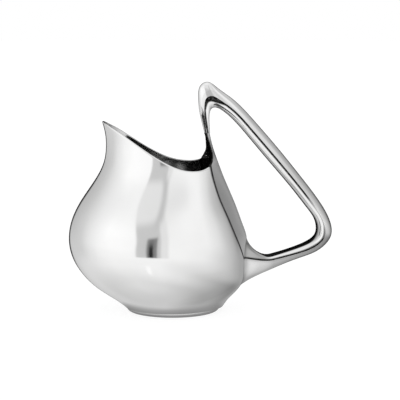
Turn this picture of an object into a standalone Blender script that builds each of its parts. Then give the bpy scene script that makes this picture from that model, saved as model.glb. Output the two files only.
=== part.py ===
"""Silver cream jug: a raised body with a spout, a back panel that rises into a hollow handle,
a base plate let into the body and a foot ring under it.

The origin is on the table under the middle of the jug's length, +Z is up, the spout points to -X
and the handle to +X. The jug is symmetric about the XZ plane. Sizes below are in millimetres, and
x is measured from the axis of the vessel, which stands MIDDLE_X in front of the origin.
"""
import math

import bmesh
import bpy
import numpy as np

MM = 0.001                      # one millimetre in metres
MIDDLE_X = 12.17                # middle of the jug's length, from the axis of the vessel

WALL = 1.0                      # sheet thickness of the body and the panel
HANDLE_WALL = 0.8               # sheet thickness of the hollow handle
SEAM = 0.3                      # clearance left at each soldered joint

# Foot
FOOT_RADIUS = 19.3              # outside of the foot ring at its top
FOOT_TUCK = 1.9                 # how far the ring turns in on its way down to the table
FOOT_CENTRE_X = 0.5             # the foot sits a little behind the axis of the vessel
FOOT_RING_HEIGHT = 1.9
FOOT_RING_WIDTH = 3.1
BODY_BOTTOM = FOOT_RING_HEIGHT + SEAM
BASE_PLATE_Z = 2.8              # underside of the base plate at its edge
BASE_PLATE_DISH = 0.8           # how far the plate rises to its middle

# Body sections are egg-shaped rings. Each list holds (height, size).
FRONT_REACH = ((0, 17.6), (1.6, 19.1), (5, 23.2), (10, 30.7), (16, 37.0), (22, 40.7), (30, 42.4),
               (38, 41.1), (46, 37.2), (54, 31.8), (61, 28.1), (68, 26.9), (74, 27.3), (80, 28.9))
BACK_REACH = ((0, 19.8), (1.6, 21.0), (5, 23.3), (8.4, 26.6), (12, 29.2), (17, 29.9), (22, 30.0),
              (27.5, 29.6), (34, 28.0), (41, 25.5), (48, 22.4), (55, 20.8), (61, 19.9), (80, 19.0))
WIDEST_AT = ((0, 0.0), (8, -2.2), (18, -5.2), (30, -7.2), (41, -5.4), (50, -3.2), (62, -2.5),
             (80, -2.5))
HALF_WIDTH = ((0, 18.6), (1.6, 20.0), (5, 24.7), (10, 29.9), (16, 33.3), (22, 35.0), (30, 35.8),
              (38, 34.1), (46, 30.9), (54, 27.0), (62, 24.0), (70, 22.6), (80, 22.4))

# Rim height against distance along the jug, from the tip of the spout to the panel
RIM_LINE = ((-30, 79.6), (-26.5, 77.4), (-22, 74.7), (-15.5, 70.4), (-9, 66.2), (-3, 62.9),
            (3, 60.7), (8, 60.1), (12, 60.5), (14.5, 61.5), (18, 63.8))

# Back panel: a leaf between two creases, with a rounded crest down its middle
LEAF_BOTTOM = 20.0
LEAF_WIDEST_AT = 44.0
LEAF_HALF_WIDTH = 17.0
LEAF_POWER = 2.25
PANEL_TOP = 73.2
TONGUE_EDGE = 0.4               # thickness of the tongue's two edges above the rim
PANEL_THICKNESS = ((20, WALL), (60, WALL), (67, 1.0), (70, 1.4), (PANEL_TOP, 2.1))
CREST_SHARPNESS = 0.45          # small is a narrow crest between flat sides
TONGUE_HALF_WIDTH = ((44, 17.0), (52, 16.85), (58, 16.3), (61.2, 15.8), (64, 14.7), (66, 12.1),
                     (68, 9.1), (70, 6.2), (72, 3.6), (73.2, 2.4))
PANEL_CREST = ((20, 30.2), (24, 30.8), (27.5, 31.1), (31, 30.9), (35.5, 29.4), (40.5, 27.6),
               (48, 24.6), (55.5, 21.4), (61, 19.3), (66, 17.5), (70, 16.4), (73.2, 15.75))
PANEL_EDGE = ((61.2, 14.8), (64, 15.5), (66, 15.7), (68, 15.4), (70, 15.0), (73.2, 14.3))
RIM_JOINS_PANEL = 61.2          # height where the rim meets the creases

# Handle loop, from the waist above the tongue round to the root on the belly. Each station is
# (outer crest x, z, inner crest x, z, ridge place from inner 0 to outer 1, half width).
HANDLE = ((13.50, 73.5, 15.80, 73.5, 0.60, 2.4),
          (12.45, 77.8, 15.55, 77.5, 0.58, 2.8),
          (11.35, 83.0, 15.60, 81.2, 0.56, 3.1),
          (10.95, 88.5, 16.10, 83.0, 0.54, 3.3),
          (11.65, 92.6, 16.80, 83.7, 0.50, 3.5),
          (14.30, 94.4, 17.80, 83.9, 0.47, 3.8),
          (18.40, 92.4, 19.50, 83.4, 0.47, 4.2),
          (24.50, 87.9, 23.65, 80.4, 0.49, 4.75),
          (33.90, 78.6, 31.40, 72.0, 0.49, 5.4),
          (44.45, 66.4, 40.75, 60.9, 0.49, 5.8),
          (54.60, 53.8, 50.20, 49.7, 0.49, 6.1),
          (61.90, 44.0, 56.60, 41.5, 0.49, 6.2),
          (65.90, 36.5, 60.00, 35.9, 0.48, 6.2),
          (66.40, 30.1, 60.10, 30.9, 0.47, 6.0),
          (61.90, 24.7, 56.80, 27.8, 0.46, 5.7),
          (54.20, 21.3, 50.70, 25.3, 0.43, 5.3),
          (47.00, 18.7, 45.30, 23.6, 0.35, 5.1),
          (41.70, 16.5, 41.35, 22.5, 0.27, 5.3))
OUTER_POWER = 2.3               # the outer half is a plain arch with a crisp edge
INNER_POWER = 3.0               # the inner half is squarer: 2 would be an ellipse
INNER_LEAN = 0.03               # how fast its sides close in from the seam
WALL_AT_RIDGE = 1.2             # width of a half's edge at the ridge, in walls
ROOT_HALF_WIDTH = 7.6           # where the handle's root lands on the belly
ROOT_RIDGE_Z = 22.0
ROOT_TOP_Z = 30.4
ROOT_BOTTOM_Z = 7.6
ROOT_TENSION = 1.0              # length of the root's end tangents against its span

# Mesh fineness
BODY_COLUMNS = 60
PANEL_COLUMNS = 16
STEPS_PER_STATION = 4
ROOT_STATIONS = 7
SECTION_POINTS = 13
TURNED_SEGMENTS = 64


def curve_through(points):
    """Return the natural cubic spline through (x, y) pairs as a function of x."""
    xs = np.array([p[0] for p in points], float)
    ys = np.array([p[1:] for p in points], float)
    count = len(xs)
    step = np.diff(xs)
    system = np.eye(count)
    target = np.zeros_like(ys)
    for i in range(1, count - 1):
        system[i, i - 1:i + 2] = (step[i - 1], 2 * (step[i - 1] + step[i]), step[i])
        rise_after = (ys[i + 1] - ys[i]) / step[i]
        rise_before = (ys[i] - ys[i - 1]) / step[i - 1]
        target[i] = 6 * (rise_after - rise_before)
    bend = np.linalg.solve(system, target)

    def value(x):
        x = np.asarray(x, float)
        i = np.clip(np.searchsorted(xs, x) - 1, 0, count - 2)
        width = step[i][..., None]
        a = (xs[i + 1] - x)[..., None] / width
        b = 1 - a
        cubic = ((a ** 3 - a) * bend[i] + (b ** 3 - b) * bend[i + 1]) * width ** 2 / 6
        result = a * ys[i] + b * ys[i + 1] + cubic
        return result[..., 0] if ys.shape[1] == 1 else result

    return value


front_reach = curve_through(FRONT_REACH)
back_reach = curve_through(BACK_REACH)
widest_at = curve_through(WIDEST_AT)
half_width = curve_through(HALF_WIDTH)
rim_line = curve_through(RIM_LINE)
tongue_half_width = curve_through(TONGUE_HALF_WIDTH)
panel_crest = curve_through(PANEL_CREST)
panel_edge = curve_through(PANEL_EDGE)
panel_thickness = curve_through(PANEL_THICKNESS)


def body_x(y_share, z, inset, front):
    """x of the body's egg-shaped ring at height z, where y is y_share of its half width."""
    centre = widest_at(z)
    front_axis = front_reach(z) + centre - inset
    back_axis = back_reach(z) - centre - inset
    along = np.sqrt(np.clip(1 - y_share ** 2, 0, 1)) * np.where(front, 1, -1)
    axis = front_axis + (back_axis - front_axis) * (1 - along) / 2
    return centre - axis * along


def body_point(angle, z, inset=0.0):
    """Point on the body: angle 0 at the spout and pi at the back, at height z."""
    share = np.sin(angle)
    x = body_x(share, z, inset, np.abs(angle) <= math.pi / 2)
    return np.stack((x, (half_width(z) - inset) * share, np.asarray(z, float) + 0 * x), axis=-1)


def leaf_half_width(z):
    """Half the distance between the two creases at height z."""
    z = np.asarray(z, float)
    drop = np.clip((LEAF_WIDEST_AT - z) / (LEAF_WIDEST_AT - LEAF_BOTTOM), 0, 1)
    lower = LEAF_HALF_WIDTH * np.sqrt(1 - drop ** LEAF_POWER)
    return np.where(z < LEAF_WIDEST_AT, lower, tongue_half_width(np.maximum(z, LEAF_WIDEST_AT)))


def crease_x(z):
    """x of the creases: on the body up to the rim, then along the tongue's own edge."""
    z = np.asarray(z, float)
    on_body = body_x(leaf_half_width(z) / half_width(z), z, 0.0, False)
    blend = np.clip((z - RIM_JOINS_PANEL) / 2, 0, 1)
    return on_body * (1 - blend) + panel_edge(np.maximum(z, RIM_JOINS_PANEL)) * blend


def panel_point(share, z, depth=0.0):
    """Point on the back panel: share runs from -1 to 1 between the creases."""
    flat = CREST_SHARPNESS
    fall = (np.sqrt(share ** 2 + flat ** 2) - flat) / (math.sqrt(1 + flat ** 2) - flat)
    crest = panel_crest(z)
    x = crest + (crease_x(z) - crest) * fall - depth
    return np.stack((x, leaf_half_width(z) * share, np.asarray(z, float) + 0 * x), axis=-1)


def back_x(y, z):
    """x of the jug's back at a place (y, z), on the panel or on the body beside it."""
    leaf = np.maximum(leaf_half_width(z), 1e-6)
    on_panel = panel_point(np.clip(np.abs(y) / leaf, 0, 1), z)[..., 0]
    on_body = body_x(np.clip(y / half_width(z), -1, 1), z, 0.0, False)
    return np.where((z > LEAF_BOTTOM) & (np.abs(y) < leaf), on_panel, on_body)


def add_mesh(name, points, faces, material):
    """Make one object from points in millimetres and faces of point numbers."""
    mesh = bpy.data.meshes.new(name)
    mesh.from_pydata([tuple(p * MM) for p in np.asarray(points, float)], [], faces)
    solid = bmesh.new()
    solid.from_mesh(mesh)
    bmesh.ops.remove_doubles(solid, verts=solid.verts, dist=1e-7)
    bmesh.ops.recalc_face_normals(solid, faces=solid.faces)
    solid.to_mesh(mesh)
    solid.free()
    mesh.shade_smooth()
    mesh.set_sharp_from_angle(angle=math.radians(40))
    mesh.materials.append(material)
    node = bpy.data.objects.new(name, mesh)
    node.location.x = -MIDDLE_X * MM
    bpy.context.collection.objects.link(node)
    return node


def metal(name, colour, roughness):
    """Silver with a Principled shader."""
    material = bpy.data.materials.new(name)
    material.use_nodes = True
    shader = material.node_tree.nodes["Principled BSDF"]
    shader.inputs["Base Color"].default_value = (*colour, 1.0)
    shader.inputs["Metallic"].default_value = 1.0
    shader.inputs["Roughness"].default_value = roughness
    return material


def turned(name, outline, material):
    """Turn a closed outline of (radius, z) points about the middle of the foot."""
    turns = np.linspace(0, 2 * math.pi, TURNED_SEGMENTS, endpoint=False)
    count = len(outline)
    points = []
    faces = []
    for i, turn in enumerate(turns):
        after = (i + 1) % TURNED_SEGMENTS
        for j, (radius, z) in enumerate(outline):
            points.append((FOOT_CENTRE_X + radius * math.cos(turn), radius * math.sin(turn), z))
            following = (j + 1) % count
            faces.append((i * count + j, after * count + j,
                          after * count + following, i * count + following))
    return add_mesh(name, points, faces, material)


def column_angle(a, z):
    """Angle of a body column: a runs from -1 at one crease to 1 at the other."""
    even = 2.6                  # angle that the columns would reach if evenly spread
    bend_from = 0.7             # columns nearer the spout than this stay upright
    edge = np.clip((leaf_half_width(z) + SEAM / 2) / half_width(z), 0, 1)
    last = np.where(z > LEAF_BOTTOM, math.pi - np.arcsin(edge), math.pi)
    shift = np.clip((np.abs(a) - bend_from) / (1 - bend_from), 0, 1) ** 1.5
    return np.sign(a) * (np.abs(a) * even + (last - even) * shift)


def rim_height(a):
    """Height of the rim on each body column, found by halving the interval."""
    low = np.full(a.shape, 55.0)
    high = np.full(a.shape, 80.0)
    for _ in range(40):
        middle = (low + high) / 2
        x = body_point(column_angle(a, middle), middle)[..., 0]
        above = middle > rim_line(x)
        high = np.where(above, middle, high)
        low = np.where(above, low, middle)
    return (low + high) / 2


def add_body_shell(material):
    """The raised vessel, open at the mouth, at the foot and between the creases."""
    a = np.linspace(-1, 1, BODY_COLUMNS + 1)
    whole = np.array([BODY_BOTTOM, 3.2, 5, 7.5, 10, 12.5, 15, 17.5, LEAF_BOTTOM])
    split = np.array([20.25, 21, 22.3, 24, 26.5, 29.5, 33, 37, 41, 45])
    upper = np.linspace(0, 1, 11)[1:]
    rim = rim_height(a)
    heights = [np.full(a.shape, z) for z in np.concatenate((whole, split))]
    heights += [split[-1] + (rim - split[-1]) * u for u in upper]
    points = []
    numbers = {}
    for layer, inset in enumerate((0.0, WALL)):
        for row, z in enumerate(heights):
            outer = body_point(column_angle(a, z), z)
            angle = column_angle(a, z)
            if row >= len(whole):
                share = np.clip(outer[:, 1] / (half_width(z) - inset), -1, 1)
                ends = np.array([0, BODY_COLUMNS])
                angle[ends] = np.sign(share[ends]) * (math.pi - np.arcsin(np.abs(share[ends])))
            ring = body_point(angle, z, inset)
            last = BODY_COLUMNS + 1 if row >= len(whole) else BODY_COLUMNS
            for column in range(last):
                numbers[layer, row, column] = len(points)
                points.append(ring[column])
            if row < len(whole):
                numbers[layer, row, BODY_COLUMNS] = numbers[layer, row, 0]
    faces = []
    top = len(heights) - 1
    for row in range(top):
        for column in range(BODY_COLUMNS):
            corners = ((row, column), (row, column + 1), (row + 1, column + 1), (row + 1, column))
            for layer in (0, 1):
                faces.append(tuple(numbers[(layer, *corner)] for corner in corners))
    for column in range(BODY_COLUMNS):
        for row in (0, top):
            faces.append((numbers[0, row, column], numbers[0, row, column + 1],
                          numbers[1, row, column + 1], numbers[1, row, column]))
    for row in range(len(whole) - 1, top):
        for column in (0, BODY_COLUMNS):
            faces.append((numbers[0, row, column], numbers[0, row + 1, column],
                          numbers[1, row + 1, column], numbers[1, row, column]))
    return add_mesh("body_shell", points, faces, material)


def add_sheet(name, outer, inner, material):
    """Close two matching grids of points, rows by columns, into one thin solid."""
    rows, columns = outer.shape[:2]
    points = np.concatenate((outer.reshape(-1, 3), inner.reshape(-1, 3)))
    half = rows * columns
    faces = []
    for r in range(rows - 1):
        for c in range(columns - 1):
            corner = r * columns + c
            quad = (corner, corner + 1, corner + columns + 1, corner + columns)
            faces.append(quad)
            faces.append(tuple(half + n for n in quad))
    border = [(0, c) for c in range(columns)] + [(r, columns - 1) for r in range(1, rows)]
    border += [(rows - 1, c) for c in range(columns - 2, -1, -1)]
    border += [(r, 0) for r in range(rows - 2, 0, -1)]
    edge = [r * columns + c for r, c in border]
    for here, after in zip(edge, edge[1:] + edge[:1]):
        faces.append((here, after, half + after, half + here))
    return add_mesh(name, points, faces, material)


def add_back_panel(material):
    """The leaf that closes the body's back and rises above the rim as the tongue."""
    heights = np.array([20.5, 21.2, 22.4, 24, 26, 28.5, 31, 34, 38, 42, 46, 50, 54, 58, 61.2, 63,
                        64.5, 66, 67.5, 69, 70.5, 72, PANEL_TOP])
    share, z = np.meshgrid(np.linspace(-1, 1, PANEL_COLUMNS + 1), heights)
    trim = 1 - (SEAM / 2) / np.maximum(leaf_half_width(z), 1.0)
    thin = np.clip((z - RIM_JOINS_PANEL) / 4, 0, 1)
    edge = WALL + (TONGUE_EDGE - WALL) * thin
    depth = edge + (panel_thickness(z) - edge) * (1 - share ** 2)
    return add_sheet("back_panel", panel_point(share * trim, z),
                     panel_point(share * trim, z, depth), material)


def handle_stations():
    """Rows of HANDLE with smooth steps between them, closest together round its bends."""
    table = np.array(HANDLE)
    middle = (table[:, 0:2] + table[:, 2:4]) / 2
    reach = np.concatenate(([0], np.cumsum(np.linalg.norm(np.diff(middle, axis=0), axis=1))))
    loop = curve_through(np.column_stack((reach, table)))
    rows = np.arange(len(table))
    steps = np.linspace(0, rows[-1], rows[-1] * STEPS_PER_STATION + 1)
    return loop(np.interp(steps, rows, reach))


def section_curve(outer_half, lean):
    """Places across (-1 to 1) and over (0 to 1) the section curve of one handle half."""
    turn = np.linspace(-1, 1, SECTION_POINTS) * math.pi / 2
    if outer_half:
        across = np.sin(turn)
        return across, 1 - np.abs(across) ** OUTER_POWER
    over = np.cos(turn).clip(0) ** (2 / INNER_POWER)
    across = np.sign(turn) * np.abs(np.sin(turn)) ** (2 / INNER_POWER)
    return across * (1 - lean * over), over


def loop_ring(station, outer_half, wall=0.0, step_back=0.0):
    """Curve over one half of the handle's section, from ridge to ridge."""
    outer_crest = station[0:2]
    inner_crest = station[2:4]
    ridge = inner_crest + (outer_crest - inner_crest) * station[4]
    crest = outer_crest if outer_half else inner_crest
    reach = np.linalg.norm(crest - ridge)
    away = (crest - ridge) / reach
    across, over = section_curve(outer_half, INNER_LEAN * reach / station[5])
    height = step_back + max(reach - step_back - wall, 0.0) * over
    width = station[5] - WALL_AT_RIDGE * wall
    place = ridge + height[:, None] * away
    return np.column_stack((place[:, 0], width * across, place[:, 1]))


def landing_ring(outer_half, wall=0.0, lift=0.0):
    """Curve where one half of the handle's root lands on the jug's back."""
    width = ROOT_HALF_WIDTH - WALL_AT_RIDGE * wall
    far = (ROOT_BOTTOM_Z + wall if outer_half else ROOT_TOP_Z - wall) - ROOT_RIDGE_Z
    across, over = section_curve(outer_half, INNER_LEAN * abs(far) / width)
    y = width * across
    z = ROOT_RIDGE_Z + far * over
    z = z + math.copysign(SEAM / 2, far) * (1 - over)
    return np.column_stack((back_x(y, z) + lift, y, z))


def landing_direction(ring):
    """Unit directions along the jug's back, away from the middle of the root."""
    small = 0.05
    dy = ring[:, 1]
    dz = ring[:, 2] - ROOT_RIDGE_Z
    size = np.maximum(np.hypot(dy, dz), 1e-6)
    dy, dz = dy / size, dz / size
    ahead = back_x(ring[:, 1] + small * dy, ring[:, 2] + small * dz)
    behind = back_x(ring[:, 1] - small * dy, ring[:, 2] - small * dz)
    direction = np.column_stack(((ahead - behind) / (2 * small), dy, dz))
    return direction / np.linalg.norm(direction, axis=1)[:, None]


def root_rings(last, before, outer_half, wall, lift):
    """Rings that flare from the end of the loop on to the jug's back."""
    landing = landing_ring(outer_half, wall, lift)
    leave = last - before
    leave = leave / np.linalg.norm(leave, axis=1)[:, None]
    arrive = landing_direction(landing)
    span = np.linalg.norm(landing - last, axis=1)[:, None] * ROOT_TENSION
    rings = []
    for t in np.linspace(0, 1, ROOT_STATIONS + 1)[1:]:
        rings.append((2 * t ** 3 - 3 * t ** 2 + 1) * last + (t ** 3 - 2 * t ** 2 + t) * span * leave
                     + (3 * t ** 2 - 2 * t ** 3) * landing + (t ** 3 - t ** 2) * span * arrive)
    return rings


def add_handle_half(name, outer_half, material):
    """One pressed half of the hollow handle: a channel from the waist to the root."""
    stations = handle_stations()
    skins = []
    for wall in (0.0, HANDLE_WALL):
        rings = [loop_ring(s, outer_half, wall, SEAM / 2) for s in stations]
        rings += root_rings(rings[-1], rings[-2], outer_half, wall, SEAM)
        skins.append(np.array(rings))
    return add_sheet(name, skins[0], skins[1], material)


def add_base_plate(material):
    """Dished disc let into the bottom of the body."""
    radius = front_reach(BASE_PLATE_Z) + FOOT_CENTRE_X - WALL - SEAM
    lift = BASE_PLATE_DISH
    under = [(0.0, BASE_PLATE_Z + lift), (radius * 0.5, BASE_PLATE_Z + lift * 0.75),
             (radius, BASE_PLATE_Z)]
    outline = under + [(r, z + WALL) for r, z in reversed(under)]
    return turned("base_plate", outline, material)


def add_foot_ring(material):
    """Ring under the edge of the body, rounded in towards the table."""
    outer = [(FOOT_RADIUS - FOOT_TUCK * (1 - math.cos(t)), FOOT_RING_HEIGHT * (1 - math.sin(t)))
             for t in np.linspace(math.pi / 2, 0, 7)]
    inner = FOOT_RADIUS - FOOT_RING_WIDTH
    outline = [(inner, 0.0), *outer, (inner, FOOT_RING_HEIGHT)]
    return turned("foot_ring", outline, material)


def clear_scene():
    for item in list(bpy.data.objects):
        bpy.data.objects.remove(item, do_unlink=True)


def build():
    clear_scene()
    add_body_shell(metal("body_silver", (0.90, 0.90, 0.89), 0.07))
    add_back_panel(metal("panel_silver", (0.88, 0.88, 0.87), 0.08))
    add_handle_half("handle_outer_shell", True, metal("handle_silver", (0.90, 0.90, 0.89), 0.08))
    add_handle_half("handle_inner_shell", False, metal("inner_silver", (0.87, 0.87, 0.86), 0.08))
    add_base_plate(metal("base_silver", (0.82, 0.82, 0.80), 0.22))
    add_foot_ring(metal("foot_silver", (0.88, 0.88, 0.87), 0.10))


build()
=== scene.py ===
"""Looks of the silver cream jug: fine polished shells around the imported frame, and a studio.

Distances in this script are millimetres from the axis of the vessel on the table: +Z is up, the
spout points to -X and the handle to +X. The frame says where that axis stands.
"""
import math

import bmesh
import bpy
import numpy as np
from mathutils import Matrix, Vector


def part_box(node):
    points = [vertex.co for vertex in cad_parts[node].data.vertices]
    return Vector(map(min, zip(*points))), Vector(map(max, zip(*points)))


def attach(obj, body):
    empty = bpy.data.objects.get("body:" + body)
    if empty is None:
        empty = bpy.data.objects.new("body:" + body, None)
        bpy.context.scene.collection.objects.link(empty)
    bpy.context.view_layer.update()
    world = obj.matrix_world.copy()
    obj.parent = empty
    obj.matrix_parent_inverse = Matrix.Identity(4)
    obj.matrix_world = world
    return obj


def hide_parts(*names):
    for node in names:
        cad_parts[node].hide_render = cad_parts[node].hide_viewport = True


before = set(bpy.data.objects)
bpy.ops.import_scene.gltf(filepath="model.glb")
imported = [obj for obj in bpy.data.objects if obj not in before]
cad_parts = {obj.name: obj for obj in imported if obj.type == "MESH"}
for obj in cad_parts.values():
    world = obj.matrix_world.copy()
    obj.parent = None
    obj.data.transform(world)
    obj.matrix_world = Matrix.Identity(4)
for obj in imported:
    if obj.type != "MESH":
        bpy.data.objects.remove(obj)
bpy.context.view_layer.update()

MM = 0.001                      # one millimetre in metres

# Sheet and seams
WALL = 1.0                      # body and panel
HANDLE_WALL = 0.8
GROOVE = 0.16                   # how far each sheet's edge is rounded back at a seam
JOINT = 0.012                   # what is left open at the bottom of a seam

# Foot
FOOT_RADIUS = 19.3              # outside of the foot ring at its top
FOOT_TUCK = 1.9                 # how far the ring turns in on its way down to the table
FOOT_CENTRE_X = 0.5             # the foot sits a little behind the axis of the vessel
FOOT_RING_HEIGHT = 1.9
FOOT_RING_WIDTH = 3.1
BODY_BOTTOM = 1.94
BASE_PLATE_Z = 2.8              # underside of the base plate at its edge
BASE_PLATE_DISH = 0.8           # how far the plate rises to its middle
BASE_PLATE_GAP = 0.3            # between the plate's edge and the body

# Body sections are egg-shaped rings. Each list holds (height, size).
FRONT_REACH = ((0, 17.6), (1.6, 19.1), (5, 23.2), (10, 30.7), (16, 37.0), (22, 40.7), (30, 42.4),
               (38, 41.1), (46, 37.2), (54, 31.8), (61, 28.1), (68, 26.9), (74, 27.3), (80, 28.9))
BACK_REACH = ((0, 19.8), (1.6, 21.0), (5, 23.3), (8.4, 26.6), (12, 29.2), (17, 29.9), (22, 30.0),
              (27.5, 29.6), (34, 28.0), (41, 25.5), (48, 22.4), (55, 20.8), (61, 19.9), (80, 19.0))
WIDEST_AT = ((0, 0.0), (8, -2.2), (18, -5.2), (30, -7.2), (41, -5.4), (50, -3.2), (62, -2.5),
             (80, -2.5))
HALF_WIDTH = ((0, 18.6), (1.6, 20.0), (5, 24.7), (10, 29.9), (16, 33.3), (22, 35.0), (30, 35.8),
              (38, 34.1), (46, 30.9), (54, 27.0), (62, 24.0), (70, 22.6), (80, 22.4))

# Rim height against distance along the jug, from the tip of the spout to the panel
RIM_LINE = ((-30, 79.6), (-26.5, 77.4), (-22, 74.7), (-15.5, 70.4), (-9, 66.2), (-3, 62.9),
            (3, 60.7), (8, 60.1), (12, 60.5), (14.5, 61.5), (18, 63.8))

# Back panel: a leaf between two creases, with a rounded crest down its middle
LEAF_BOTTOM = 20.0
LEAF_WIDEST_AT = 44.0
LEAF_HALF_WIDTH = 17.0
LEAF_POWER = 2.25
PANEL_TOP = 73.49
TONGUE_EDGE = 0.4               # thickness of the tongue's two edges above the rim
TONGUE_THINS_OVER = 4.0         # height in which the wall thins to that edge
CREST_SHARPNESS = 0.45          # small is a narrow crest between flat sides
TONGUE_HALF_WIDTH = ((44, 17.0), (52, 16.85), (58, 16.3), (61.2, 15.8), (64, 14.7), (66, 12.1),
                     (68, 9.1), (70, 6.2), (72, 3.6), (73.2, 2.4), (74, 2.4))
PANEL_CREST = ((20, 30.2), (24, 30.8), (27.5, 31.1), (31, 30.9), (35.5, 29.4), (40.5, 27.6),
               (48, 24.6), (55.5, 21.4), (61, 19.3), (66, 17.5), (70, 16.4), (73.2, 15.75))
PANEL_EDGE = ((61.2, 14.8), (64, 15.5), (66, 15.7), (68, 15.4), (70, 15.0), (73.2, 14.3))
PANEL_THICKNESS = ((20, WALL), (60, WALL), (67, 1.0), (70, 1.4), (73.2, 2.1))
RIM_JOINS_PANEL = 61.2          # height where the rim meets the creases

# Handle loop, from the waist above the tongue round to the root on the belly. Each station is
# (outer crest x, z, inner crest x, z, ridge place from inner 0 to outer 1, half width).
HANDLE = ((13.50, 73.5, 15.80, 73.5, 0.60, 2.4),
          (12.45, 77.8, 15.55, 77.5, 0.58, 2.8),
          (11.35, 83.0, 15.60, 81.2, 0.56, 3.1),
          (10.95, 88.5, 16.10, 83.0, 0.54, 3.3),
          (11.65, 92.6, 16.80, 83.7, 0.50, 3.5),
          (14.30, 94.4, 17.80, 83.9, 0.47, 3.8),
          (18.40, 92.4, 19.50, 83.4, 0.47, 4.2),
          (24.50, 87.9, 23.65, 80.4, 0.49, 4.75),
          (33.90, 78.6, 31.40, 72.0, 0.49, 5.4),
          (44.45, 66.4, 40.75, 60.9, 0.49, 5.8),
          (54.60, 53.8, 50.20, 49.7, 0.49, 6.1),
          (61.90, 44.0, 56.60, 41.5, 0.49, 6.2),
          (65.90, 36.5, 60.00, 35.9, 0.48, 6.2),
          (66.40, 30.1, 60.10, 30.9, 0.47, 6.0),
          (61.90, 24.7, 56.80, 27.8, 0.46, 5.7),
          (54.20, 21.3, 50.70, 25.3, 0.43, 5.3),
          (47.00, 18.7, 45.30, 23.6, 0.35, 5.1),
          (41.70, 16.5, 41.35, 22.5, 0.27, 5.3))
OUTER_POWER = 2.3               # the outer half is a plain arch with a crisp edge
INNER_POWER = 3.0               # the inner half is squarer: 2 would be an ellipse
INNER_LEAN = 0.03               # how fast its sides close in from the seam
INNER_SPREAD = 1.6              # above 1, its points are closer together at its sides
OUTER_SIDE_WALL = 1.5           # wall of the outer half at its sides, against HANDLE_WALL
SEAM_EDGE = 0.05                # bevel of each half along the ridge
ROOT_HALF_WIDTH = 7.6           # where the handle's root lands on the belly
ROOT_RIDGE_Z = 22.0
ROOT_TOP_Z = 30.4
ROOT_BOTTOM_Z = 7.6
ROOT_TENSION = 1.0              # length of the root's end tangents against its span
ROOT_SINK = 0.02                # how far the root's skin is let into the jug's back
ROOT_SINK_INSIDE = 0.35

foot_low, foot_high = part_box("foot_ring")
VESSEL_X = (foot_low[0] + foot_high[0]) / 2 - FOOT_CENTRE_X * MM

# Painted shade along the seams, in millimetres from a seam: solid up to the first distance, gone at
# the second
BODY_SEAM = (0.5, 1.3)
PANEL_SEAM = (0.0, 0.7)
RIDGE_SEAM = (0.5, 0.9)
RIDGE_SEAM_GAIN = 2.1           # what both gain in the bend over the top
OUTER_SHARE = 0.15              # strength on the outer half, against 1 on the inner half
TOP_BEND = (16.6, 88.3)         # middle of that bend, (x, z)
TOP_BEND_REACH = 6.0
CORNER = (66.0, 41.0)           # the lower corner, where the ridge is left without painted shade
CORNER_REACH = (6.0, 12.5)
CROOK_FROM = 41.0               # the painted shade in the crook of the root starts at this x
CROOK_BLEND = 3.0
SPOUT_TIP_X = -27.0             # the painted shade inside is lightest at the spout
SPOUT_FADE = 30.0
INSIDE_LEAST = 0.2
INSIDE_SHARE = 0.6              # strength inside the body, against 1 inside the tongue

# Where painted shade darkens the handle's edges at a glancing angle: all but the stem and the limb
# close to the root
STEM_BACK_X = 20.0              # the stem lies in front of this, up to STEM_TOP_Z
STEM_TOP_Z = 88.0
STEM_BLEND = 6.0
LOWER_LIMB_TOP_Z = 40.0
LOWER_LIMB_EDGE_X = 38.0        # on the lower limb the painted edge shade sets in here
LOWER_LIMB_BLEND = 10.0

# Mesh fineness
BODY_COLUMNS = 220
FOOT_ROWS = 12                  # rows of the body, from the foot to the rim
BELLY_ROWS = 14
LEAF_ROWS = 44
UPPER_ROWS = 40
PANEL_COLUMNS = 48
PANEL_LOW_ROWS = 30             # rows of the panel at the leaf's point, and above it
PANEL_HIGH_ROWS = 110
STEPS_PER_STATION = 14
ROOT_STATIONS = 24
SECTION_POINTS = 49
TURNED_SEGMENTS = 192
ROUNDING_STEPS = 4
FOOT_FLARE_Z = 7.0              # rows are close below this, over the flare of the foot
LEAF_ROWS_TOP = 45.0            # rows are level up to this, and follow the rim above
PANEL_ROWS_CLOSE = 30.0         # rows of the panel are close below this, at the leaf's point
RIM_SEARCH = (55.0, 80.0)       # heights between which the rim is looked for
RIM_SEARCH_STEPS = 40


# ---------------------------------------------------------------- the jug's surfaces

def curve_through(points):
    """Return the natural cubic spline through (x, y) pairs as a function of x."""
    xs = np.array([p[0] for p in points], float)
    ys = np.array([p[1:] for p in points], float)
    count = len(xs)
    step = np.diff(xs)
    system = np.eye(count)
    target = np.zeros_like(ys)
    for i in range(1, count - 1):
        system[i, i - 1:i + 2] = (step[i - 1], 2 * (step[i - 1] + step[i]), step[i])
        rise_after = (ys[i + 1] - ys[i]) / step[i]
        rise_before = (ys[i] - ys[i - 1]) / step[i - 1]
        target[i] = 6 * (rise_after - rise_before)
    bend = np.linalg.solve(system, target)

    def value(x):
        x = np.asarray(x, float)
        i = np.clip(np.searchsorted(xs, x) - 1, 0, count - 2)
        width = step[i][..., None]
        a = (xs[i + 1] - x)[..., None] / width
        b = 1 - a
        cubic = ((a ** 3 - a) * bend[i] + (b ** 3 - b) * bend[i + 1]) * width ** 2 / 6
        result = a * ys[i] + b * ys[i + 1] + cubic
        return result[..., 0] if ys.shape[1] == 1 else result

    return value


front_reach = curve_through(FRONT_REACH)
back_reach = curve_through(BACK_REACH)
widest_at = curve_through(WIDEST_AT)
half_width = curve_through(HALF_WIDTH)
rim_line = curve_through(RIM_LINE)
tongue_half_width = curve_through(TONGUE_HALF_WIDTH)
panel_crest = curve_through(PANEL_CREST)
panel_edge = curve_through(PANEL_EDGE)
panel_thickness = curve_through(PANEL_THICKNESS)


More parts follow.
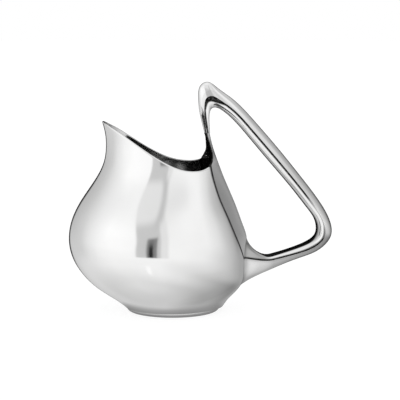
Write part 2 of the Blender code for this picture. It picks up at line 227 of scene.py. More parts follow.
def body_x(y_share, z, inset, front):
    """x of the body's egg-shaped ring at height z, where y is y_share of its half width."""
    centre = widest_at(z)
    front_axis = front_reach(z) + centre - inset
    back_axis = back_reach(z) - centre - inset
    along = np.sqrt(np.clip(1 - y_share ** 2, 0, 1)) * np.where(front, 1, -1)
    axis = front_axis + (back_axis - front_axis) * (1 - along) / 2
    return centre - axis * along


def body_point(angle, z, inset=0.0):
    """Point on the body: angle 0 at the spout and pi at the back, at height z."""
    share = np.sin(angle)
    x = body_x(share, z, inset, np.abs(angle) <= math.pi / 2)
    return np.stack((x, (half_width(z) - inset) * share, np.asarray(z, float) + 0 * x), axis=-1)


def leaf_half_width(z):
    """Half the distance between the two creases at height z."""
    z = np.asarray(z, float)
    drop = np.clip((LEAF_WIDEST_AT - z) / (LEAF_WIDEST_AT - LEAF_BOTTOM), 0, 1)
    lower = LEAF_HALF_WIDTH * np.sqrt(1 - drop ** LEAF_POWER)
    return np.where(z < LEAF_WIDEST_AT, lower, tongue_half_width(np.maximum(z, LEAF_WIDEST_AT)))


def crease_x(z):
    """x of the creases: on the body up to the rim, then along the tongue's own edge."""
    z = np.asarray(z, float)
    on_body = body_x(leaf_half_width(z) / half_width(z), z, 0.0, False)
    blend = np.clip((z - RIM_JOINS_PANEL) / 2, 0, 1)
    blend = blend * blend * (3 - 2 * blend)
    return on_body * (1 - blend) + panel_edge(np.maximum(z, RIM_JOINS_PANEL)) * blend


def panel_point(share, z, depth=0.0):
    """Point on the back panel: share runs from -1 to 1 between the creases."""
    flat = CREST_SHARPNESS
    fall = (np.sqrt(share ** 2 + flat ** 2) - flat) / (math.sqrt(1 + flat ** 2) - flat)
    crest = panel_crest(z)
    x = crest + (crease_x(z) - crest) * fall - depth
    return np.stack((x, leaf_half_width(z) * share, np.asarray(z, float) + 0 * x), axis=-1)


def back_x(y, z):
    """x of the jug's back at a place (y, z), on the panel or on the body beside it."""
    leaf = np.maximum(leaf_half_width(z), 1e-6)
    on_panel = panel_point(np.clip(np.abs(y) / leaf, 0, 1), z)[..., 0]
    on_body = body_x(np.clip(y / half_width(z), -1, 1), z, 0.0, False)
    return np.where((z > LEAF_BOTTOM) & (np.abs(y) < leaf), on_panel, on_body)


# ---------------------------------------------------------------- mesh helpers

def make_piece(name, points, faces, material, node, sharp_degrees=180, **marks):
    """Make one visible piece from points in millimetres, standing for a CAD node. Marks are
    values from 0 to 1 on the points, that the material reads by name."""
    mesh = bpy.data.meshes.new(name)
    mesh.from_pydata([tuple(p) for p in np.asarray(points, float) * MM], [], faces)
    for mark, values in marks.items():
        layer = mesh.attributes.new(mark, "FLOAT", "POINT")
        layer.data.foreach_set("value", np.ravel(values).astype(np.float32))
    solid = bmesh.new()
    solid.from_mesh(mesh)
    bmesh.ops.remove_doubles(solid, verts=solid.verts, dist=1e-7)
    bmesh.ops.recalc_face_normals(solid, faces=solid.faces)
    solid.to_mesh(mesh)
    solid.free()
    mesh.shade_smooth()
    if sharp_degrees < 180:
        mesh.set_sharp_from_angle(angle=math.radians(sharp_degrees))
    mesh.materials.append(material)
    piece = bpy.data.objects.new(name, mesh)
    piece.location.x = VESSEL_X
    bpy.context.scene.collection.objects.link(piece)
    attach(piece, "root")
    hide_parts(node)
    return piece


def sheet_faces(rows, columns, wrap_rows=False):
    """Quads of a grid of points, numbered row by row."""
    faces = []
    for r in range(rows if wrap_rows else rows - 1):
        after = (r + 1) % rows
        for c in range(columns - 1):
            faces.append((r * columns + c, r * columns + c + 1,
                          after * columns + c + 1, after * columns + c))
    return faces


def rounding():
    """Steps of a quarter circle: (how far to the side, how deep), both from 0 to 1."""
    turn = np.linspace(0, math.pi / 2, ROUNDING_STEPS + 1)
    return np.sin(turn), 1 - np.cos(turn)


def places_between(columns):
    """Even places from -1 to 1, and two more close to each end to keep the shading level there."""
    close = 1 - np.array([0.3, 0.06]) * 2 / columns
    return np.sort(np.concatenate((np.linspace(-1, 1, columns + 1), close, -close)))


def fade(distance, solid, reach):
    """1 up to a solid distance, from there down to 0 at the given reach."""
    return np.clip((reach - np.asarray(distance)) / (reach - solid), 0, 1)


# ---------------------------------------------------------------- body

def column_angle(a, z, gap):
    """Angle of a body column: a runs from -1 at one crease to 1 at the other."""
    even = 2.6                  # angle that the columns would reach if evenly spread
    bend_from = 0.7             # columns nearer the spout than this stay upright
    edge = np.clip((leaf_half_width(z) + gap) / half_width(z), 0, 1)
    last = np.where(z > LEAF_BOTTOM, math.pi - np.arcsin(edge), math.pi)
    shift = np.clip((np.abs(a) - bend_from) / (1 - bend_from), 0, 1) ** 1.5
    return np.sign(a) * (np.abs(a) * even + (last - even) * shift)


def rim_height(a):
    """Height of the rim on each body column, found by halving the interval."""
    low = np.full(a.shape, RIM_SEARCH[0])
    high = np.full(a.shape, RIM_SEARCH[1])
    for _ in range(RIM_SEARCH_STEPS):
        middle = (low + high) / 2
        x = body_point(column_angle(a, middle, GROOVE), middle)[..., 0]
        above = middle > rim_line(x)
        high = np.where(above, middle, high)
        low = np.where(above, low, middle)
    return (low + high) / 2


def body_row(a, z, inset, rounded):
    """One row of the body with its edges at the creases, rounded where the sheet shows."""
    ring = body_point(column_angle(a, z, GROOVE + JOINT), z, inset)
    side, deep = rounding()
    ends = []
    for sign, index in ((-1, 0), (1, len(a) - 1)):
        height = z[index]
        open_here = height > LEAF_BOTTOM
        edge = []
        for s, d in zip(side[1:], deep[1:]):
            reach = leaf_half_width(height) + (JOINT + GROOVE * (1 - s)) * open_here
            depth = inset + (GROOVE * d if rounded else 0.0) * open_here
            share = min(reach / (half_width(height) - depth), 1.0)
            edge.append(body_point(sign * (math.pi - math.asin(share)), height, depth))
        ends.append(np.array(edge))
    return np.concatenate((ends[0][::-1], ring, ends[1]))


def build_body(material):
    """The vessel: outside, rounded rim, inside and foot edge as one closed skin."""
    a = places_between(BODY_COLUMNS)
    rim = rim_height(a)
    lower = np.linspace(0, 1, FOOT_ROWS) ** 1.2 * (FOOT_FLARE_Z - BODY_BOTTOM) + BODY_BOTTOM
    middle = np.linspace(FOOT_FLARE_Z, LEAF_BOTTOM, BELLY_ROWS)[1:]
    leaf = LEAF_BOTTOM + (LEAF_ROWS_TOP - LEAF_BOTTOM) * np.linspace(0, 1, LEAF_ROWS)[1:] ** 1.7
    fixed = np.concatenate((lower, middle, leaf))
    split = len(lower) + len(middle) - 1
    half = WALL / 2
    heights = [np.full(a.shape, z) for z in fixed]
    steps = (*np.linspace(0, 1, UPPER_ROWS)[1:-1], 0.992, 1.0)
    heights += [fixed[-1] + (rim - half - fixed[-1]) * u for u in steps]
    rows = [body_row(a, z, 0.0, True) for z in heights]
    for turn in np.linspace(0, math.pi, 9)[1:-1]:
        z = rim - half + half * math.sin(turn)
        rows.append(body_row(a, z, half * (1 - math.cos(turn)), turn < math.pi / 2))
    rows += [body_row(a, z, WALL, False) for z in heights[::-1]]
    grid = np.array(rows)
    count, columns = grid.shape[:2]
    faces = sheet_faces(count, columns, wrap_rows=True)
    top = len(heights) - 1
    for column in (0, columns - 1):
        for r in range(split, top):
            inner = count - 1 - r
            faces.append((r * columns + column, (r + 1) * columns + column,
                          (inner - 1) * columns + column, inner * columns + column))
        faces.append(tuple(r * columns + column for r in range(top, count - top)))
    x, y, z = grid[..., 0], grid[..., 1], grid[..., 2]
    # Painted shade inside the vessel, lightest towards the spout
    inside = np.clip((x - SPOUT_TIP_X) / SPOUT_FADE, INSIDE_LEAST, 1) * INSIDE_SHARE
    past_rim = count - len(heights) - 3     # the first row that lies well inside the rim
    inside[:past_rim] = 0
    # Painted shade along the creases beside the back panel
    from_crease = np.abs(np.abs(y) - leaf_half_width(z))
    seam = np.where((z > LEAF_BOTTOM) & (x > 0), fade(from_crease, *BODY_SEAM), 0)
    return make_piece("jug_body", grid.reshape(-1, 3), faces, material, "body_shell", 50,
                      inside=inside, seam=seam)


# ---------------------------------------------------------------- swept sheets

def swept_sheet(name, loops, outer_points, material, node, sharp_degrees=50, **marks):
    """Close a row of section loops into a solid. Each loop runs along the outside, over one
    edge, back along the inside and over the other edge."""
    loops = np.array(loops)
    rows, size = loops.shape[:2]
    faces = []
    for r in range(rows - 1):
        for c in range(size):
            after = (c + 1) % size
            faces.append((r * size + c, r * size + after,
                          (r + 1) * size + after, (r + 1) * size + c))
    edge = (size - 2 * outer_points) // 2
    for r in (0, rows - 1):
        first = r * size
        for i in range(outer_points - 1):
            opposite = outer_points + edge + (outer_points - 1 - i)
            faces.append((first + i, first + i + 1, first + opposite - 1, first + opposite))
        right = range(outer_points - 1, outer_points + edge + 1)
        left = [first + n for n in range(2 * outer_points + edge - 1, size)] + [first]
        faces.append(tuple(first + n for n in right))
        faces.append(tuple(left))
    return make_piece(name, loops.reshape(-1, 3), faces, material, node, sharp_degrees, **marks)


def build_panel(material):
    """The leaf that closes the body's back and rises above the rim as the tongue."""
    side, deep = rounding()
    spread = places_between(PANEL_COLUMNS)
    outer_points = len(spread)
    loops = []
    steps = np.linspace(0.02, 1, PANEL_LOW_ROWS) ** 1.8
    low = LEAF_BOTTOM + (PANEL_ROWS_CLOSE - LEAF_BOTTOM) * steps
    high = np.linspace(PANEL_ROWS_CLOSE, PANEL_TOP, PANEL_HIGH_ROWS)[1:]
    for z in np.concatenate((low, high)):
        leaf = float(leaf_half_width(z))
        round_by = min(GROOVE, leaf * 0.2)
        reach = leaf - JOINT - round_by
        thin = min(max((z - RIM_JOINS_PANEL) / TONGUE_THINS_OVER, 0), 1)
        edge = WALL + (TONGUE_EDGE - WALL) * thin
        outer = [panel_point(np.float64(s * reach / leaf), z) for s in spread]
        over = [(reach + round_by * s, round_by * d) for s, d in zip(side[1:], deep[1:])]
        right = [panel_point(np.float64(y / leaf), z, d) for y, d in over]
        share = spread[::-1] * (leaf - JOINT) / leaf
        depth = edge + (float(panel_thickness(z)) - edge) * (1 - share ** 2)
        inner = [panel_point(np.float64(s), z, d) for s, d in zip(share, depth)]
        left = [panel_point(np.float64(-y / leaf), z, d) for y, d in over[::-1]]
        loops.append(outer + right + inner + left)
    loops = np.array(loops)
    # Painted shade on the tongue's inner face
    inside = np.zeros(loops.shape[:2])
    inside[:, outer_points + ROUNDING_STEPS:-ROUNDING_STEPS] = 1
    # Painted shade along the panel's two creases
    leaf = leaf_half_width(loops[..., 2])
    seam = fade(leaf - np.abs(loops[..., 1]), *PANEL_SEAM)
    return swept_sheet("jug_back_panel", loops, outer_points, material, "back_panel",
                       inside=inside, seam=seam)


# ---------------------------------------------------------------- handle

def handle_stations():
    """Rows of HANDLE with smooth steps between them, closest together round its bends."""
    table = np.array(HANDLE)
    middle = (table[:, 0:2] + table[:, 2:4]) / 2
    reach = np.concatenate(([0], np.cumsum(np.linalg.norm(np.diff(middle, axis=0), axis=1))))
    loop = curve_through(np.column_stack((reach, table)))
    rows = np.arange(len(table))
    steps = np.linspace(0, rows[-1], rows[-1] * STEPS_PER_STATION + 1)
    return loop(np.interp(steps, rows, reach))


def half_section(outer_half, width, reach):
    """Closed loop of (y, height over the seam plane) for one half of the handle."""
    power = OUTER_POWER if outer_half else INNER_POWER
    u = np.linspace(-1, 1, SECTION_POINTS)
    if outer_half:
        across = np.sin(u * math.pi / 2)
        over = 1 - np.abs(across) ** power
    else:
        turn = np.sign(u) * (1 - (1 - np.abs(u)) ** INNER_SPREAD) * math.pi / 2
        over = np.cos(turn).clip(0) ** (2 / power)
        across = np.sign(turn) * np.abs(np.sin(turn)) ** (2 / power)
        across = across * (1 - INNER_LEAN * reach / width * over)
    skin = [(width * y, SEAM_EDGE + (reach - SEAM_EDGE) * h) for y, h in zip(across, over)]
    bevel = 0.3 * SEAM_EDGE
    corner = [(width - bevel, JOINT / 2 + bevel), (width - SEAM_EDGE, JOINT / 2)]
    narrow = width - HANDLE_WALL * (OUTER_SIDE_WALL if outer_half else 1.0)
    low = max(reach - HANDLE_WALL, 0.0)
    inside = [(narrow * y, JOINT / 2 + low * h) for y, h in zip(across[::-1], over)]
    return skin + corner + inside + [(-y, h) for y, h in corner[::-1]]


def loop_ring(station, outer_half):
    """The section loop of one half of the handle, set at a station of the loop."""
    outer_crest = station[0:2]
    inner_crest = station[2:4]
    ridge = inner_crest + (outer_crest - inner_crest) * station[4]
    crest = outer_crest if outer_half else inner_crest
    reach = np.linalg.norm(crest - ridge)
    away = (crest - ridge) / reach
    ring = []
    for y, height in half_section(outer_half, station[5], reach):
        place = ridge + height * away
        ring.append((place[0], y, place[1]))
    return np.array(ring)


def landing_ring(outer_half):
    """The loop where the root of one half lands on the jug's back."""
    far = (ROOT_BOTTOM_Z if outer_half else ROOT_TOP_Z) - ROOT_RIDGE_Z
    loop = np.array(half_section(outer_half, ROOT_HALF_WIDTH, abs(far)))
    y = loop[:, 0]
    z = ROOT_RIDGE_Z + math.copysign(1, far) * loop[:, 1]
    buried = np.full(len(y), ROOT_SINK)
    buried[SECTION_POINTS:] = ROOT_SINK_INSIDE
    return np.column_stack((back_x(y, z) - buried, y, z))


def landing_direction(ring):
    """Unit directions along the jug's back, away from the middle of the root."""
    small = 0.05
    dy = ring[:, 1]
    dz = ring[:, 2] - ROOT_RIDGE_Z
    size = np.maximum(np.hypot(dy, dz), 1e-6)
    dy, dz = dy / size, dz / size
    ahead = back_x(ring[:, 1] + small * dy, ring[:, 2] + small * dz)
    behind = back_x(ring[:, 1] - small * dy, ring[:, 2] - small * dz)
    direction = np.column_stack(((ahead - behind) / (2 * small), dy, dz))
    return direction / np.linalg.norm(direction, axis=1)[:, None]


def root_rings(last, before, outer_half):
    """Rings that flare from the end of the loop on to the jug's back."""
    landing = landing_ring(outer_half)
    leave = last - before
    leave = leave / np.linalg.norm(leave, axis=1)[:, None]
    arrive = landing_direction(landing)
    span = np.linalg.norm(landing - last, axis=1)[:, None] * ROOT_TENSION
    rings = []
    for t in np.linspace(0, 1, ROOT_STATIONS + 1)[1:]:
        rings.append((2 * t ** 3 - 3 * t ** 2 + 1) * last + (t ** 3 - 2 * t ** 2 + t) * span * leave
                     + (3 * t ** 2 - 2 * t ** 3) * landing + (t ** 3 - t ** 2) * span * arrive)
    return rings


def build_handle_half(name, outer_half, material, node):
    """One half of the hollow handle, from the waist round to the root. Its marks are painted
    shade: beside the ridge, in the crook of the root and along the loop's glancing edges."""
    rings = [loop_ring(s, outer_half) for s in handle_stations()]
    rings += root_rings(rings[-1], rings[-2], outer_half)
    rings = np.array(rings)
    ridge = (rings[:, :1] + rings[:, SECTION_POINTS - 1:SECTION_POINTS]) / 2
    x, z = ridge[..., 0], ridge[..., 2]
    # Painted shade beside the ridge, standing in for a dark reflection along the seam
    over_seam = np.linalg.norm((rings - ridge)[..., [0, 2]], axis=-1)
    at_top = fade(np.hypot(x - TOP_BEND[0], z - TOP_BEND[1]), 0.0, TOP_BEND_REACH)
    at_corner = fade(np.hypot(x - CORNER[0], z - CORNER[1]), *CORNER_REACH)
    gain = RIDGE_SEAM_GAIN * at_top
    seam = fade(over_seam, RIDGE_SEAM[0] + gain, RIDGE_SEAM[1] + gain)
    seam = seam * (1 - at_corner) * (OUTER_SHARE if outer_half else 1.0)
    # Painted shade on the loop's glancing edges, left off the stem, and in the crook of the root on
    # the inner half
    on_stem = np.clip((STEM_TOP_Z - z) / STEM_BLEND, 0, 1) * (x < STEM_BACK_X)
    lower_limb = (z < LOWER_LIMB_TOP_Z) * (x > STEM_BACK_X)
    at_root = np.clip((CROOK_FROM - x) / CROOK_BLEND, 0, 1) * lower_limb
    crook = at_root * np.ones_like(seam) * (0 if outer_half else 1)
    glancing_shade = np.clip((x - LOWER_LIMB_EDGE_X) / LOWER_LIMB_BLEND, z > LOWER_LIMB_TOP_Z, 1)
    edge = glancing_shade * (1 - on_stem) * np.ones_like(seam)
    return swept_sheet(name, rings, SECTION_POINTS, material, node, 30,
                       seam=seam, crook=crook, edge=edge)


# ---------------------------------------------------------------- foot

def build_turned(name, outline, material, node):
    """Turn a closed outline of (radius, z) points about the middle of the foot."""
    turns = np.linspace(0, 2 * math.pi, TURNED_SEGMENTS, endpoint=False)
    count = len(outline)
    points = []
    faces = []
    for i, turn in enumerate(turns):
        after = (i + 1) % TURNED_SEGMENTS
        for j, (radius, z) in enumerate(outline):
            points.append((FOOT_CENTRE_X + radius * math.cos(turn), radius * math.sin(turn), z))
            following = (j + 1) % count
            faces.append((i * count + j, after * count + j,
                          after * count + following, i * count + following))
    return make_piece(name, points, faces, material, node, 40)


def build_base_plate(material):
    """Dished disc let into the bottom of the body."""
    radius = float(front_reach(BASE_PLATE_Z)) + FOOT_CENTRE_X - WALL - BASE_PLATE_GAP
    rings = np.linspace(0, 1, 10)
    under = [(radius * r, BASE_PLATE_Z + BASE_PLATE_DISH * (1 - r * r)) for r in rings]
    outline = under + [(r, z + WALL) for r, z in reversed(under)]
    return build_turned("jug_base_plate", outline, material, "base_plate")


def build_foot_ring(material):
    """Ring under the edge of the body, rounded in towards the table."""
    outer = [(FOOT_RADIUS - FOOT_TUCK * (1 - math.cos(t)), FOOT_RING_HEIGHT * (1 - math.sin(t)))
             for t in np.linspace(math.pi / 2, 0, 17)]
    inner = FOOT_RADIUS - FOOT_RING_WIDTH
    outline = [(inner, 0.0), *outer, (inner, FOOT_RING_HEIGHT)]
    return build_turned("jug_foot_ring", outline, material, "foot_ring")


# ---------------------------------------------------------------- node helpers

class Nodes:
    """Short ways to add nodes to one tree."""

    def __init__(self, tree):
        self.tree = tree

    def add(self, kind, **settings):
        node = self.tree.nodes.new(kind)
        for name, value in settings.items():
            setattr(node, name, value)
        return node

    def feed(self, socket, value):
        """Link a socket to another one, or set it to a number, a vector or a colour."""
        if isinstance(value, bpy.types.NodeSocket):
            self.tree.links.new(value, socket)
        else:
            socket.default_value = value

    def maths(self, operation, *values, clamp=False):
        node = self.add("ShaderNodeMath", operation=operation, use_clamp=clamp)
        for socket, value in zip(node.inputs, values):
            self.feed(socket, value)
        return node.outputs[0]

    def ease(self, value, start, end):
        """0 at start and 1 at end with a soft step between, in either order."""
        node = self.add("ShaderNodeMapRange", interpolation_type="SMOOTHSTEP")
        for socket, given in zip(node.inputs, (value, start, end)):
            self.feed(socket, given)
        return node.outputs[0]

    def ramp(self, value, stops, interpolation="LINEAR"):
        """Colour ramp through (place, grey or colour) stops."""
        node = self.add("ShaderNodeValToRGB")
        elements = node.color_ramp.elements
        node.color_ramp.interpolation = interpolation
        while len(elements) < len(stops):
            elements.new(1.0)
        for element, (place, colour) in zip(elements, stops):
            element.position = place
            rgb = (colour,) * 3 if isinstance(colour, (int, float)) else colour
            element.color = (*rgb, 1.0)
        self.feed(node.inputs[0], value)
        return node.outputs["Color"]

    def blend(self, share, first, second):
        """Mix the outputs of two shader nodes."""
        node = self.add("ShaderNodeMixShader")
        for socket, value in zip(node.inputs, (share, first.outputs[0], second.outputs[0])):
            self.feed(socket, value)
        return node

    def noise(self, place, scale, detail):
        node = self.add("ShaderNodeTexNoise")
        self.feed(node.inputs["Vector"], place)
        node.inputs["Scale"].default_value = scale
        node.inputs["Detail"].default_value = detail
        return node.outputs[0]

    def attribute(self, name):
        return self.add("ShaderNodeAttribute", attribute_name=name).outputs["Fac"]

    def bump(self, height, metres, normal=None):
        node = self.add("ShaderNodeBump")
        node.inputs["Distance"].default_value = metres
        self.feed(node.inputs["Height"], height)
        if normal:
            self.feed(node.inputs["Normal"], normal)
        return node.outputs[0]

    def mix(self, share, first, second):
        """Blend two colours: share 0 gives the first, 1 the second."""
        node = self.add("ShaderNodeMix", data_type="RGBA")
        for socket, value in ((node.inputs[0], share), (node.inputs[6], first),
                              (node.inputs[7], second)):
            if isinstance(value, (int, float)) and socket.type == "RGBA":
                value = (value, value, value, 1.0)
            self.feed(socket, value)
        return node.outputs[2]


def tone(level):
    """Linear light that shows as a grey of this level, from 0 black to 1 white."""
    return level / 12.92 if level <= 0.04045 else ((level + 0.055) / 1.055) ** 2.4


# ---------------------------------------------------------------- materials

SILVER = (0.965, 0.965, 0.963, 1.0)
HAZED_SILVER = (0.925, 0.924, 0.918, 1.0)
# Painted shade: greys mixed into the silver along the seams, in the crook of the root and inside
# the vessel
SEAM_PAINTED_SHADE = (0.012, 0.012, 0.011, 1.0)
CROOK_PAINTED_SHADE = (0.38, 0.379, 0.375, 1.0)
INSIDE_PAINTED_SHADE = (0.10, 0.10, 0.099, 1.0)
CROOK_STRENGTH = 0.85
HAZE_STRENGTH = 0.6
EDGE_PAINTED_SHADE = 0.9              # how much painted shade darkens the handle's silver where it turns away
HAZE_SCALE = 48.0               # patches about 20 mm across
HAZE_RANGE = (0.42, 0.68)       # noise between which the haze sets in
SCRATCH_RANGE = (0.66, 0.72)    # the same for the scratches among the hairlines
SCRATCH_SHARE = 0.31            # number of scratches against hairlines
SPECKLE_SCALE = 900.0
RIPPLE_SCALE = 130.0
HAIRLINE_HEIGHT = 3e-7          # metres
HAIRLINES_PER_METRE = 2500.0
HAIRLINE_STRETCH = 30.0         # the same, along a hairline
ROUGHER_HAZE = 0.03             # what each layer adds to the roughness
ROUGHER_HAIRS = 0.025
ROUGHER_SCRATCH = 0.03
ROUGHER_SEAM = 0.15
ROUGHER_INSIDE = 0.16


def silver(name, roughness, marks_run, ripple):
    """Hand-polished silver: a neutral mirror with haze, hairlines, faint ripples and painted shade.

    The hairlines run round the vessel ("round"), along the handle ("along") or in rings about
    the axis ("turned"). Ripple is the height of the ripples in metres. The marks on a piece's
    points say where shade is painted into it: along the seams, in the crook of the root, inside
    the vessel and on the handle's glancing edges.
    """
    material = bpy.data.materials.new(name)
    material.use_nodes = True
    nodes = Nodes(material.node_tree)
    shader = material.node_tree.nodes["Principled BSDF"]
    place = nodes.add("ShaderNodeTexCoord").outputs["Object"]
    inside = nodes.attribute("inside")

    haze = nodes.ease(nodes.noise(place, HAZE_SCALE, 4.0), *HAZE_RANGE)
    hairs = nodes.noise(hair_coordinates(nodes, place, marks_run), 1.0, 3.0)
    wider = hair_coordinates(nodes, place, marks_run, SCRATCH_SHARE)
    scratch = nodes.ease(nodes.noise(wider, 1.0, 2.0), *SCRATCH_RANGE)
    speckle = nodes.noise(place, SPECKLE_SCALE, 3.0)
    # Painted shade along the seams, speckled
    seam_shade = nodes.maths("MULTIPLY", nodes.attribute("seam"),
                        nodes.maths("MULTIPLY_ADD", speckle, 0.5, 0.75), clamp=True)

    colour = nodes.mix(nodes.maths("MULTIPLY", haze, HAZE_STRENGTH), SILVER, HAZED_SILVER)
    # Painted shade in the crook of the root and inside the vessel
    crook = nodes.maths("MULTIPLY", nodes.attribute("crook"), CROOK_STRENGTH)
    colour = nodes.mix(crook, colour, CROOK_PAINTED_SHADE)
    colour = nodes.mix(inside, colour, INSIDE_PAINTED_SHADE)
    colour = nodes.mix(seam_shade, colour, SEAM_PAINTED_SHADE)
    nodes.feed(shader.inputs["Base Color"], colour)
    shader.inputs["Metallic"].default_value = 1.0

    # Painted shade: where shade is painted, and on the handle's edges, the silver doesn't brighten
    # at a glancing angle
    glancing_shade = nodes.maths("MAXIMUM", nodes.maths("POWER", inside, 4.0), seam_shade)
    edge_shade = nodes.maths("MULTIPLY", nodes.attribute("edge"), EDGE_PAINTED_SHADE)
    glancing_shade = nodes.maths("MAXIMUM", glancing_shade, edge_shade)
    nodes.feed(shader.inputs["Specular Tint"], nodes.mix(glancing_shade, 1.0, 0.0))

    rough = roughness
    for layer, gain in ((haze, ROUGHER_HAZE), (hairs, ROUGHER_HAIRS), (scratch, ROUGHER_SCRATCH),
                        (seam_shade, ROUGHER_SEAM), (inside, ROUGHER_INSIDE)):
        rough = nodes.maths("MULTIPLY_ADD", layer, gain, rough)
    nodes.feed(shader.inputs["Roughness"], rough)

    ripples = nodes.bump(nodes.noise(place, RIPPLE_SCALE, 1.5), ripple)
    lines = nodes.bump(nodes.maths("ADD", hairs, scratch), HAIRLINE_HEIGHT, ripples)
    nodes.feed(shader.inputs["Normal"], lines)
    return material


def hair_coordinates(nodes, place, marks_run, share=1.0):
    """Coordinates stretched so that noise becomes fine lines, wider apart at a smaller share."""
    fine = HAIRLINES_PER_METRE * share
    coarse = HAIRLINE_STRETCH
    if marks_run == "turned":
        flat = nodes.add("ShaderNodeVectorMath", operation="MULTIPLY")
        nodes.feed(flat.inputs[0], place)
        flat.inputs[1].default_value = (fine, fine, 0.0)
        length = nodes.add("ShaderNodeVectorMath", operation="LENGTH")
        nodes.feed(length.inputs[0], flat.outputs[0])
        spread = nodes.add("ShaderNodeCombineXYZ")
        nodes.feed(spread.inputs[0], length.outputs["Value"])
        return spread.outputs[0]
    stretch = nodes.add("ShaderNodeVectorMath", operation="MULTIPLY")
    nodes.feed(stretch.inputs[0], place)
    round_axis = (coarse, coarse, fine)
    along_loop = (coarse, fine, coarse)
    stretch.inputs[1].default_value = round_axis if marks_run == "round" else along_loop
    return stretch.outputs[0]


def build_jug():
    vessel = silver("silver_vessel", 0.07, "round", 4e-6)
    handle = silver("silver_handle", 0.07, "along", 6e-6)
    turned = silver("silver_foot", 0.12, "turned", 2e-6)
    plate = silver("silver_base_plate", 0.24, "turned", 4e-6)
    build_body(vessel)
    build_panel(silver("silver_panel", 0.11, "along", 6e-6))
    outer = build_handle_half("jug_handle_outer", True, handle, "handle_outer_shell")
    inner = build_handle_half("jug_handle_inner", False, handle, "handle_inner_shell")
    outer.visible_glossy = False    # the body's back stays calm, with no handle mirrored in it
    inner.visible_glossy = False
    build_base_plate(plate)
    build_foot_ring(turned)


# ---------------------------------------------------------------- studio

SILVER_GREY = 0.965             # share of light that the silver gives back

# The studio as the silver sees it: greys around the jug at six elevations, between a floor and
# a ceiling. Azimuth 0 is towards the camera's side, positive to the right, and 180 is behind
# the jug; all in degrees.
FLOOR_GREY = 0.784
CEILING_GREY = 0.93
RINGS = (
    (-55, ((-180, .79), (-150, .78), (-110, .82), (-50, .87), (0, .84), (40, .765), (90, .645),
           (125, .625), (155, .70), (180, .79))),
    (-30, ((-180, .77), (-150, .84), (-110, .885), (-65, .955), (0, .945), (30, .885), (60, .775),
           (90, .65), (125, .52), (150, .545), (180, .77))),
    (-12, ((-180, .76), (-150, .79), (-120, .81), (-85, .95), (-65, .975), (-30, .965), (0, .955),
           (30, .965), (60, .935), (90, .825), (120, .69), (135, .64), (160, .63), (180, .76))),
    (6, ((-180, .70), (-150, .74), (-120, .81), (-105, .895), (-85, .965), (-65, .995),
         (-35, .98), (0, .955), (45, .96), (70, .94), (90, .875), (105, .77), (120, .68),
         (130, .50), (137, .56), (143, .60), (152, .50), (166, .50), (180, .70))),
    (26, ((-180, .70), (-150, .72), (-130, .79), (-105, .90), (-75, 1.0), (-35, .98), (0, .94),
          (50, .96), (70, .95), (90, .86), (105, .72), (125, .70), (150, .86), (180, .80))),
    (52, ((-180, .93), (-150, .93), (-125, .85), (-100, .90), (-55, .95), (0, .90), (40, .84),
          (75, .95), (95, .74), (140, .90), (180, .93))),
)

# Cards that hang in front of that light, in this order. Each is (azimuths, elevations, soft edges
# at the sides, the bottom and the top, grey, share of the light that it covers).
LEANING_CARDS = (((-28.5, 14), (-16, 62), (5, 1, 10), .875, .85),     # curtain round the gap
                 ((-28.5, 4), (-16, 38), (4, 1, 10), .78, 1))         # its darker lower part
FRONT_CARDS = (((-9, 1), (34, 66), (10, 12, 10), .74, .9),            # fold over the gap
               ((-14.8, -1), (-16, 22.5), (2.5, 1, 5), .49, 1),       # gap where the camera stands
               ((-11.6, -6.2), (-16, 13), (2.5, 1, 24), .0, 1),       # the darkest part of the gap
               ((-18, -12), (-39, -31), (5, 5, 5), .99, 1))           # bright spot on the table
BACK_CARDS = (((162, 200), (-16, 38), (8, 8, 8), .10, 1),)            # dark end of the room
LEAN_FROM = 12.0                # above this elevation the leaning cards shift to the left, by
LEAN_SCALE = 36.0               # LEAN_GAIN * ((elevation - LEAN_FROM) / LEAN_SCALE) ** LEAN_POWER
LEAN_POWER = 2.2
LEAN_GAIN = 20.0

# Camera and floor, in metres
CAMERA_AIM = (0.0117, 0.0, 0.0457)      # from the axis of the vessel, on the table
CAMERA_TURN = -5.6                      # degrees, towards the spout
CAMERA_DISTANCE = 0.70
CAMERA_HEIGHT = 0.137
CAMERA_LENS = 154.0                     # millimetres
FLOOR_RADIUS = 3.0
FLOOR_BASE = 0.2                        # the table's own grey
FLOOR_GLOW = 0.86
UNDER_FOOT_PAINTED_SHADOW = 0.22                  # painted contact shadow: the table's glow under the foot, as the silver sees it
UNDER_FOOT = (24.0, 18.0)               # from none of it to all of it, radii in millimetres


def build_camera():
    """Camera at the viewing angle: a little towards the spout and a little above the rim."""
    aim = Vector((VESSEL_X + CAMERA_AIM[0], CAMERA_AIM[1], CAMERA_AIM[2]))
    turn = math.radians(CAMERA_TURN)
    data = bpy.data.cameras.new("camera")
    data.lens = CAMERA_LENS
    camera = bpy.data.objects.new("camera", data)
    camera.location = (aim.x + CAMERA_DISTANCE * math.sin(turn),
                       -CAMERA_DISTANCE * math.cos(turn), CAMERA_HEIGHT)
    camera.rotation_euler = (aim - camera.location).to_track_quat("-Z", "Y").to_euler()
    bpy.context.scene.collection.objects.link(camera)
    bpy.context.scene.camera = camera


def ring_light(nodes, azimuth, stops):
    """Light all the way round at one elevation, from (azimuth, grey) stops."""
    place = nodes.maths("MULTIPLY_ADD", azimuth, 1 / 360, 0.5)
    return nodes.ramp(place, [((a + 180) / 360, tone(grey) / SILVER_GREY) for a, grey in stops])


def between(nodes, value, low, high, soft_low, soft_high):
    """1 between low and high, easing to 0 over a soft edge on each side."""
    rise = nodes.ease(value, low - soft_low / 2, low + soft_low / 2)
    fall = nodes.ease(value, high + soft_high / 2, high - soft_high / 2)
    return nodes.maths("MULTIPLY", rise, fall)


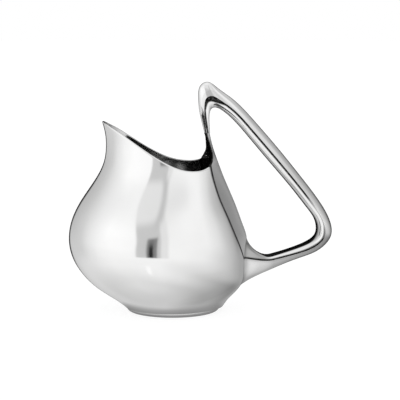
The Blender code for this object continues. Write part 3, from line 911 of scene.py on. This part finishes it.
def hang_cards(nodes, light, azimuth, elevation, cards):
    """Hang a row of cards in front of the light."""
    for across, up, soft, grey, strength in cards:
        mask = nodes.maths("MULTIPLY", between(nodes, azimuth, *across, soft[0], soft[0]),
                           between(nodes, elevation, *up, soft[1], soft[2]))
        mask = nodes.maths("MULTIPLY", mask, strength)
        light = nodes.mix(mask, light, tone(grey) / SILVER_GREY)
    return light


def build_world():
    """White cove for the camera; soft boxes, cards and a pale table for the silver."""
    world = bpy.data.worlds.new("studio")
    world.use_nodes = True
    nodes = Nodes(world.node_tree)
    coordinates = nodes.add("ShaderNodeTexCoord").outputs["Generated"]
    split = nodes.add("ShaderNodeSeparateXYZ")
    nodes.feed(split.inputs[0], coordinates)
    x, y, z = split.outputs
    degree = 180 / math.pi
    azimuth = nodes.maths("MULTIPLY", nodes.maths("ARCTAN2", x, nodes.maths("MULTIPLY", y, -1.0)),
                          degree)
    elevation = nodes.maths("MULTIPLY", nodes.maths("ARCSINE", z), degree)

    light = tone(FLOOR_GREY) / SILVER_GREY
    below = -90
    for height, stops in RINGS:
        light = nodes.mix(nodes.ease(elevation, below, height), light,
                          ring_light(nodes, azimuth, stops))
        below = height
    light = nodes.mix(nodes.ease(elevation, below, 90), light, tone(CEILING_GREY) / SILVER_GREY)

    rise = nodes.maths("MULTIPLY_ADD", elevation, 1 / LEAN_SCALE, -LEAN_FROM / LEAN_SCALE)
    rise = nodes.maths("POWER", nodes.maths("MAXIMUM", rise, 0.0), LEAN_POWER)
    leaning = nodes.maths("ADD", azimuth, nodes.maths("MULTIPLY", rise, LEAN_GAIN))
    light = hang_cards(nodes, light, leaning, elevation, LEANING_CARDS)
    light = hang_cards(nodes, light, azimuth, elevation, FRONT_CARDS)
    light = hang_cards(nodes, light, nodes.maths("ABSOLUTE", azimuth), elevation, BACK_CARDS)

    rays = nodes.add("ShaderNodeLightPath")
    seen = nodes.mix(rays.outputs["Is Glossy Ray"], 1.0, light)
    background = world.node_tree.nodes["Background"]
    nodes.feed(background.inputs["Color"], seen)
    bpy.context.scene.world = world


def build_floor():
    """Pale table. The silver sees the studio's own gradient in its place, and a painted contact
    shadow under the foot."""
    bpy.ops.mesh.primitive_circle_add(vertices=96, radius=FLOOR_RADIUS, fill_type="NGON",
                                      location=(VESSEL_X, 0, 0))
    floor = bpy.context.active_object
    floor.name = "floor"
    material = bpy.data.materials.new("pale_table")
    material.use_nodes = True
    nodes = Nodes(material.node_tree)
    shader = material.node_tree.nodes["Principled BSDF"]
    shader.inputs["Base Color"].default_value = (FLOOR_BASE, FLOOR_BASE, FLOOR_BASE, 1.0)
    shader.inputs["Roughness"].default_value = 0.9
    shader.inputs["Specular IOR Level"].default_value = 0.0
    shader.inputs["Emission Color"].default_value = (1.0, 1.0, 1.0, 1.0)
    shader.inputs["Emission Strength"].default_value = FLOOR_GLOW
    from_foot = nodes.add("ShaderNodeVectorMath", operation="LENGTH")
    nodes.feed(from_foot.inputs[0], nodes.add("ShaderNodeTexCoord").outputs["Object"])
    # Painted contact shadow under the foot, seen only in the silver
    under_foot = nodes.ease(from_foot.outputs["Value"], UNDER_FOOT[0] * MM, UNDER_FOOT[1] * MM)
    clear = nodes.add("ShaderNodeBsdfTransparent")
    painted_shadow = nodes.add("ShaderNodeEmission")
    painted_shadow.inputs["Strength"].default_value = UNDER_FOOT_PAINTED_SHADOW
    rays = nodes.add("ShaderNodeLightPath")
    mirrored = nodes.blend(under_foot, clear, painted_shadow)
    choose = nodes.blend(rays.outputs["Is Glossy Ray"], shader, mirrored)
    output = material.node_tree.nodes["Material Output"]
    nodes.feed(output.inputs["Surface"], choose.outputs[0])
    floor.data.materials.append(material)


build_jug()
build_camera()
build_world()
build_floor()
bpy.context.scene.view_settings.view_transform = "Standard"
